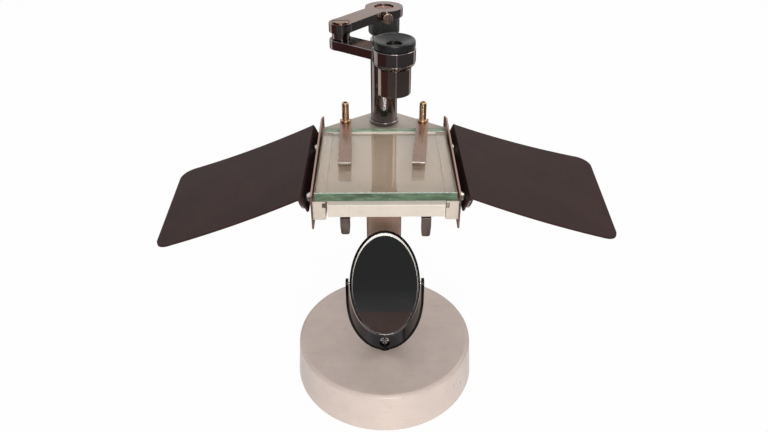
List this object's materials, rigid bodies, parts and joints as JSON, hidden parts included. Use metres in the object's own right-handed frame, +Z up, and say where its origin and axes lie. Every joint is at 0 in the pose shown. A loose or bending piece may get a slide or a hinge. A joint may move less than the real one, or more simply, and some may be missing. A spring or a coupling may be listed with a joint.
{
  "type": "dissecting microscope",
  "caption": "Low-power dissecting microscope: round base, column, glass stage with hinged hand rests, tilting mirror and a jointed lens arm.",
  "frame": {"origin": "centre of the round base's underside, on the surface the microscope stands on", "axes": "+Z up; the front of the stage towards -Y, the column behind the middle towards +Y; +X to the right as seen from the front"},
  "size_m": [0.3228, 0.151, 0.2996],
  "materials": {
    "beige_paint": "satin enamel",
    "bar_paint": "satin enamel",
    "plate_paint": "matt enamel",
    "dark_lacquer": "satin lacquer",
    "chrome": "polished",
    "sheet_steel": "satin",
    "screw_steel": "turned",
    "brass": "satin",
    "glass": "clear",
    "lens_glass": "clear",
    "mirror": "polished",
    "black_plastic": "moulded"
  },
  "bodies": {
    "stand": {"base": "beige_paint", "column": "beige_paint", "column_bolt": "screw_steel", "stage_frame": "beige_paint", "glass_plate": "glass", "under_spring_left": "sheet_steel", "under_spring_right": "sheet_steel", "spring_screws": "screw_steel", "side_plate_left": "sheet_steel", "side_plate_right": "sheet_steel", "side_plate_screws": "screw_steel", "hinge_pins_left": "screw_steel", "hinge_pins_right": "screw_steel", "pillar": "chrome", "pillar_foot_ring": "chrome", "fork_foot": "chrome", "fork_screw": "screw_steel"},
    "slide": {"slide_plate": "plate_paint", "front_bar": "bar_paint"},
    "collar": {"pillar_collar": "black_plastic"},
    "rod": {"focus_rod": "screw_steel", "arm_cap_screw": "screw_steel"},
    "upper_arm": {"upper_arm": "chrome", "elbow_pin": "screw_steel", "elbow_spacer": "black_plastic", "elbow_screw": "screw_steel"},
    "arm_clamp": {"arm_set_screw": "chrome"},
    "lower_arm": {"lower_arm": "chrome"},
    "eyepiece": {"lens_nut": "chrome", "eyepiece_barrel": "chrome", "eyecup": "black_plastic", "eye_lens": "lens_glass", "field_lens": "lens_glass", "lens_retainer": "screw_steel"},
    "clip_left": {"clip_post_left": "brass", "clip_strip_left": "sheet_steel"},
    "clip_right": {"clip_post_right": "brass", "clip_strip_right": "sheet_steel"},
    "rest_left": {"hand_rest_left": "dark_lacquer"},
    "rest_right": {"hand_rest_right": "dark_lacquer"},
    "screw_front_left": {"thumbscrew_front_left": "screw_steel"},
    "screw_rear_left": {"thumbscrew_rear_left": "screw_steel"},
    "screw_front_right": {"thumbscrew_front_right": "screw_steel"},
    "screw_rear_right": {"thumbscrew_rear_right": "screw_steel"},
    "fork": {"mirror_fork": "chrome", "mirror_pivots": "screw_steel"},
    "mirror": {"mirror_cell": "chrome", "mirror_plane": "mirror", "mirror_concave": "mirror"}
  },
  "joints": [
    {"name": "slide_plate_out", "type": "slide", "parent": "stand", "child": "slide", "axis": [0, -1, 0], "range_m": [0, 0.07]},
    {"name": "collar_turn", "type": "hinge", "parent": "stand", "child": "collar", "pos_m": [0, 0.0532, 0.286], "axis": [0, 0, 1], "range_deg": [0, 90]},
    {"name": "focus", "type": "slide", "parent": "stand", "child": "rod", "axis": [0, 0, 1], "range_m": [0, 0.03]},
    {"name": "upper_arm_swing", "type": "hinge", "parent": "rod", "child": "upper_arm", "pos_m": [0, 0.0532, 0.2927], "axis": [0, 0, 1], "continuous": true},
    {"name": "arm_clamp_turn", "type": "hinge", "parent": "upper_arm", "child": "arm_clamp", "pos_m": [0, 0.0532, 0.29425], "axis": [0.1736, -0.9848, 0], "continuous": true},
    {"name": "elbow_swing", "type": "hinge", "parent": "upper_arm", "child": "lower_arm", "pos_m": [-0.02914, 0.01709, 0.2876], "axis": [0, 0, 1], "range_deg": [-90, 45]},
    {"name": "eyepiece_turn", "type": "hinge", "parent": "lower_arm", "child": "eyepiece", "pos_m": [0.00588, -0.00854, 0.2876], "axis": [0, 0, 1], "continuous": true},
    {"name": "clip_left_swing", "type": "hinge", "parent": "stand", "child": "clip_left", "pos_m": [-0.029, 0.036, 0.2165], "axis": [0, 0, 1], "range_deg": [-8, 15]},
    {"name": "clip_right_swing", "type": "hinge", "parent": "stand", "child": "clip_right", "pos_m": [0.029, 0.036, 0.2165], "axis": [0, 0, 1], "range_deg": [-10, 12]},
    {"name": "rest_left_tilt", "type": "hinge", "parent": "stand", "child": "rest_left", "pos_m": [-0.0494, 0, 0.1995], "axis": [0, 1, 0], "range_deg": [-3.4, 6]},
    {"name": "rest_right_tilt", "type": "hinge", "parent": "stand", "child": "rest_right", "pos_m": [0.0494, 0, 0.1995], "axis": [0, -1, 0], "range_deg": [-7, 2.4]},
    {"name": "mirror_fork_turn", "type": "hinge", "parent": "stand", "child": "fork", "pos_m": [0, -0.0175, 0.0383], "axis": [0, 0, 1], "continuous": true},
    {"name": "mirror_tilt", "type": "hinge", "parent": "fork", "child": "mirror", "pos_m": [0, -0.0175, 0.104], "axis": [1, 0, 0], "continuous": true},
    {"name": "screw_front_left_turn", "type": "hinge", "parent": "stand", "child": "screw_front_left", "pos_m": [-0.05098, -0.0545, 0.20492], "axis": [-0.9143, 0, -0.4051], "continuous": true},
    {"name": "screw_rear_left_turn", "type": "hinge", "parent": "stand", "child": "screw_rear_left", "pos_m": [-0.05098, 0.013, 0.20492], "axis": [-0.9143, 0, -0.4051], "continuous": true},
    {"name": "screw_front_right_turn", "type": "hinge", "parent": "stand", "child": "screw_front_right", "pos_m": [0.05098, -0.0545, 0.20492], "axis": [0.9143, 0, -0.4051], "continuous": true},
    {"name": "screw_rear_right_turn", "type": "hinge", "parent": "stand", "child": "screw_rear_right", "pos_m": [0.05098, 0.013, 0.20492], "axis": [0.9143, 0, -0.4051], "continuous": true}
  ]
}
